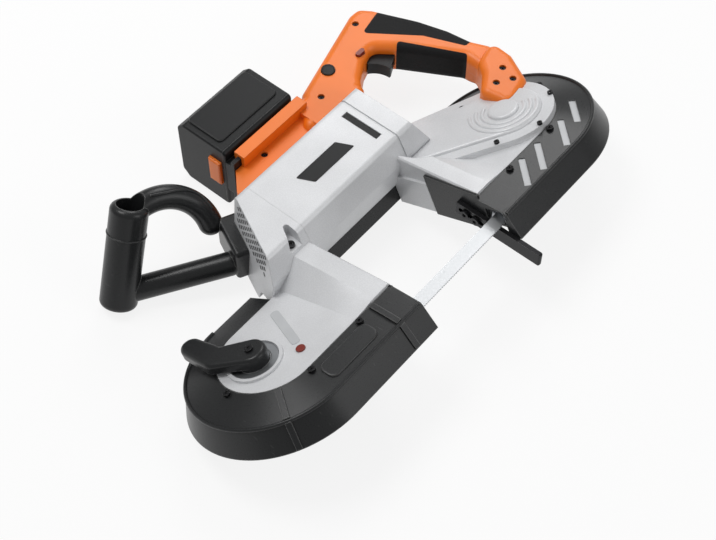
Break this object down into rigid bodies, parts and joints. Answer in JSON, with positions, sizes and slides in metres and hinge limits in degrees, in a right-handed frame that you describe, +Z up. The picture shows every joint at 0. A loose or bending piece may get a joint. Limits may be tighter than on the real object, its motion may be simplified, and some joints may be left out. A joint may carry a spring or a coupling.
{
  "type": "portable band saw",
  "caption": "Cordless deep-throat portable band saw: silver motor and gear case, black wheel guards, orange rear handle, front grip, slide-on battery, twisted blade loop and work stop.",
  "frame": {"origin": "under the middle of the bounding box, on the plane the saw rests on", "axes": "+X along the blade from the idler wheel to the drive wheel, +Y from the cutting side to the battery, +Z up from the rest plane; the wheel axes lean 25 degrees from +Z toward +Y"},
  "size_m": [0.54, 0.3674, 0.1033],
  "materials": {
    "blade_steel": "bright rolled steel",
    "silver_casting": "fine silver paint on cast aluminium",
    "orange_shell": "satin moulded orange",
    "black_bumper": "satin moulded black",
    "black_rubber": "soft textured black",
    "tyre_rubber": "plain black",
    "black_plastic": "satin moulded black",
    "red_plastic": "satin dark red",
    "wheel_aluminium": "turned casting",
    "machined_steel": "ground and cut",
    "black_steel": "black oxide",
    "zinc_steel": "zinc plate",
    "core_steel": "stacked laminations",
    "board_green": "solder mask",
    "cell_wrap": "shrink wrap"
  },
  "bodies": {
    "saw_frame": {"motor_housing": "silver_casting", "motor_end_cap": "silver_casting", "stator": "core_steel", "motor_bearings": "machined_steel", "gear_case": "silver_casting", "gear_cover": "silver_casting", "gear_bearings": "machined_steel", "casting_screws": "black_steel", "front_casting": "silver_casting", "return_guard": "black_bumper", "rear_wheel_guard": "black_bumper", "front_wheel_guard": "black_bumper", "rear_guide_bracket": "zinc_steel", "front_guide_bracket": "zinc_steel", "work_shoe_screws": "black_steel", "handle_shell_upper": "orange_shell", "handle_shell_lower": "orange_shell", "handle_screws": "black_steel", "grip_outer_skin": "black_rubber", "grip_inner_skin": "black_rubber", "trigger_switch": "black_plastic", "control_board": "board_green", "battery_socket": "orange_shell", "front_handle": "black_plastic", "front_handle_screws": "black_steel", "band_blade": "blade_steel"},
    "drive_wheel": {"drive_wheel": "wheel_aluminium", "drive_tyre": "tyre_rubber", "drive_shaft": "machined_steel", "drive_wheel_nut": "black_steel", "drive_gear": "machined_steel"},
    "middle_gear": {"middle_gear": "machined_steel"},
    "lay_shaft": {"lay_pinion": "machined_steel", "bevel_gear": "machined_steel", "lay_shaft": "machined_steel"},
    "rotor": {"bevel_pinion": "machined_steel", "rotor_shaft": "machined_steel", "rotor_core": "core_steel", "cooling_fan": "black_plastic"},
    "tension_carriage": {"tension_carriage": "silver_casting", "idler_axle": "machined_steel"},
    "idler_wheel": {"idler_wheel": "wheel_aluminium", "idler_tyre": "tyre_rubber", "idler_bearing": "machined_steel"},
    "tension_lever": {"tension_lever": "black_plastic"},
    "tracking_screw": {"tracking_screw": "red_plastic"},
    "work_shoe": {"work_shoe": "black_steel"},
    "trigger": {"trigger": "black_plastic"},
    "lock_button": {"lock_button": "red_plastic"},
    "speed_dial": {"speed_dial": "black_plastic"},
    "battery": {"battery_case": "black_plastic", "battery_lid": "black_plastic", "battery_cells": "cell_wrap"},
    "battery_button": {"battery_button": "orange_shell"},
    "front_upper_roller": {"front_upper_roller": "zinc_steel"},
    "front_lower_roller": {"front_lower_roller": "zinc_steel"},
    "front_back_roller": {"front_back_roller": "zinc_steel"},
    "rear_upper_roller": {"rear_upper_roller": "zinc_steel"},
    "rear_lower_roller": {"rear_lower_roller": "zinc_steel"},
    "rear_back_roller": {"rear_back_roller": "zinc_steel"}
  },
  "joints": [
    {"name": "drive_spin", "type": "hinge", "parent": "saw_frame", "child": "drive_wheel", "pos_m": [0.17504, -0.06628, 0.0515], "axis": [0, 0.4226, 0.9063], "continuous": true},
    {"name": "middle_gear_spin", "type": "hinge", "parent": "saw_frame", "child": "middle_gear", "pos_m": [0.11288, -0.01503, 0.04415], "axis": [0, 0.4226, 0.9063], "continuous": true},
    {"name": "lay_shaft_spin", "type": "hinge", "parent": "saw_frame", "child": "lay_shaft", "pos_m": [0.08804, 0.0222, 0.02679], "axis": [0, 0.4226, 0.9063], "continuous": true},
    {"name": "rotor_spin", "type": "hinge", "parent": "saw_frame", "child": "rotor", "pos_m": [0, 0.03372, 0.0515], "axis": [1, 0, 0], "continuous": true},
    {"name": "tension_slide", "type": "slide", "parent": "saw_frame", "child": "tension_carriage", "axis": [1, 0, 0], "range_m": [0, 0.009]},
    {"name": "idler_spin", "type": "hinge", "parent": "tension_carriage", "child": "idler_wheel", "pos_m": [-0.17504, -0.06628, 0.0515], "axis": [0, 0.4226, 0.9063], "continuous": true},
    {"name": "tension_lever_turn", "type": "hinge", "parent": "saw_frame", "child": "tension_lever", "pos_m": [-0.19004, -0.05293, 0.07065], "axis": [0, 0.4226, 0.9063], "range_deg": [0, 165]},
    {"name": "tracking_turn", "type": "hinge", "parent": "saw_frame", "child": "tracking_screw", "pos_m": [-0.16004, -0.08145, 0.08285], "axis": [0, 0.4226, 0.9063], "range_deg": [-180, 180]},
    {"name": "shoe_slide", "type": "slide", "parent": "saw_frame", "child": "work_shoe", "axis": [0, 1, 0], "range_m": [-0.006, 0.006]},
    {"name": "trigger_pull", "type": "slide", "parent": "saw_frame", "child": "trigger", "axis": [0.891, 0.454, 0], "range_m": [0, 0.007], "stiffness_N_per_m": 400},
    {"name": "lock_press", "type": "slide", "parent": "saw_frame", "child": "lock_button", "axis": [0, 0, -1], "range_m": [0, 0.002], "stiffness_N_per_m": 600},
    {"name": "speed_turn", "type": "hinge", "parent": "saw_frame", "child": "speed_dial", "pos_m": [0.11004, 0.11798, 0.0715], "axis": [0, 0, 1], "range_deg": [0, 270]},
    {"name": "battery_slide", "type": "slide", "parent": "saw_frame", "child": "battery", "axis": [1, 0, 0], "range_m": [-0.04, 0]},
    {"name": "battery_button_press", "type": "slide", "parent": "battery", "child": "battery_button", "axis": [1, 0, 0], "range_m": [0, 0.003], "stiffness_N_per_m": 500},
    {"name": "front_upper_roller_spin", "type": "hinge", "parent": "saw_frame", "child": "front_upper_roller", "pos_m": [-0.074, -0.12972, 0.08673], "axis": [0, 1, 0], "continuous": true},
    {"name": "front_lower_roller_spin", "type": "hinge", "parent": "saw_frame", "child": "front_lower_roller", "pos_m": [-0.074, -0.12972, 0.07543], "axis": [0, 1, 0], "continuous": true},
    {"name": "front_back_roller_spin", "type": "hinge", "parent": "saw_frame", "child": "front_back_roller", "pos_m": [-0.089, -0.11782, 0.08108], "axis": [0, 0, 1], "continuous": true},
    {"name": "rear_upper_roller_spin", "type": "hinge", "parent": "saw_frame", "child": "rear_upper_roller", "pos_m": [0.074, -0.12972, 0.08673], "axis": [0, 1, 0], "continuous": true},
    {"name": "rear_lower_roller_spin", "type": "hinge", "parent": "saw_frame", "child": "rear_lower_roller", "pos_m": [0.074, -0.12972, 0.07543], "axis": [0, 1, 0], "continuous": true},
    {"name": "rear_back_roller_spin", "type": "hinge", "parent": "saw_frame", "child": "rear_back_roller", "pos_m": [0.089, -0.11782, 0.08108], "axis": [0, 0, 1], "continuous": true}
  ],
  "couplings": [
    {"joint": "middle_gear_spin", "follows": "drive_spin", "ratio": -1.2083},
    {"joint": "lay_shaft_spin", "follows": "drive_spin", "ratio": 3.625},
    {"joint": "rotor_spin", "follows": "drive_spin", "ratio": -10.875},
    {"joint": "idler_spin", "follows": "drive_spin", "ratio": 1},
    {"joint": "tension_slide", "follows": "tension_lever_turn", "m_per_rad": 0.003125},
    {"joint": "front_upper_roller_spin", "follows": "drive_spin", "ratio": -14},
    {"joint": "front_lower_roller_spin", "follows": "drive_spin", "ratio": 14},
    {"joint": "front_back_roller_spin", "follows": "drive_spin", "ratio": 13.462},
    {"joint": "rear_upper_roller_spin", "follows": "drive_spin", "ratio": -14},
    {"joint": "rear_lower_roller_spin", "follows": "drive_spin", "ratio": 14},
    {"joint": "rear_back_roller_spin", "follows": "drive_spin", "ratio": 13.462}
  ]
}
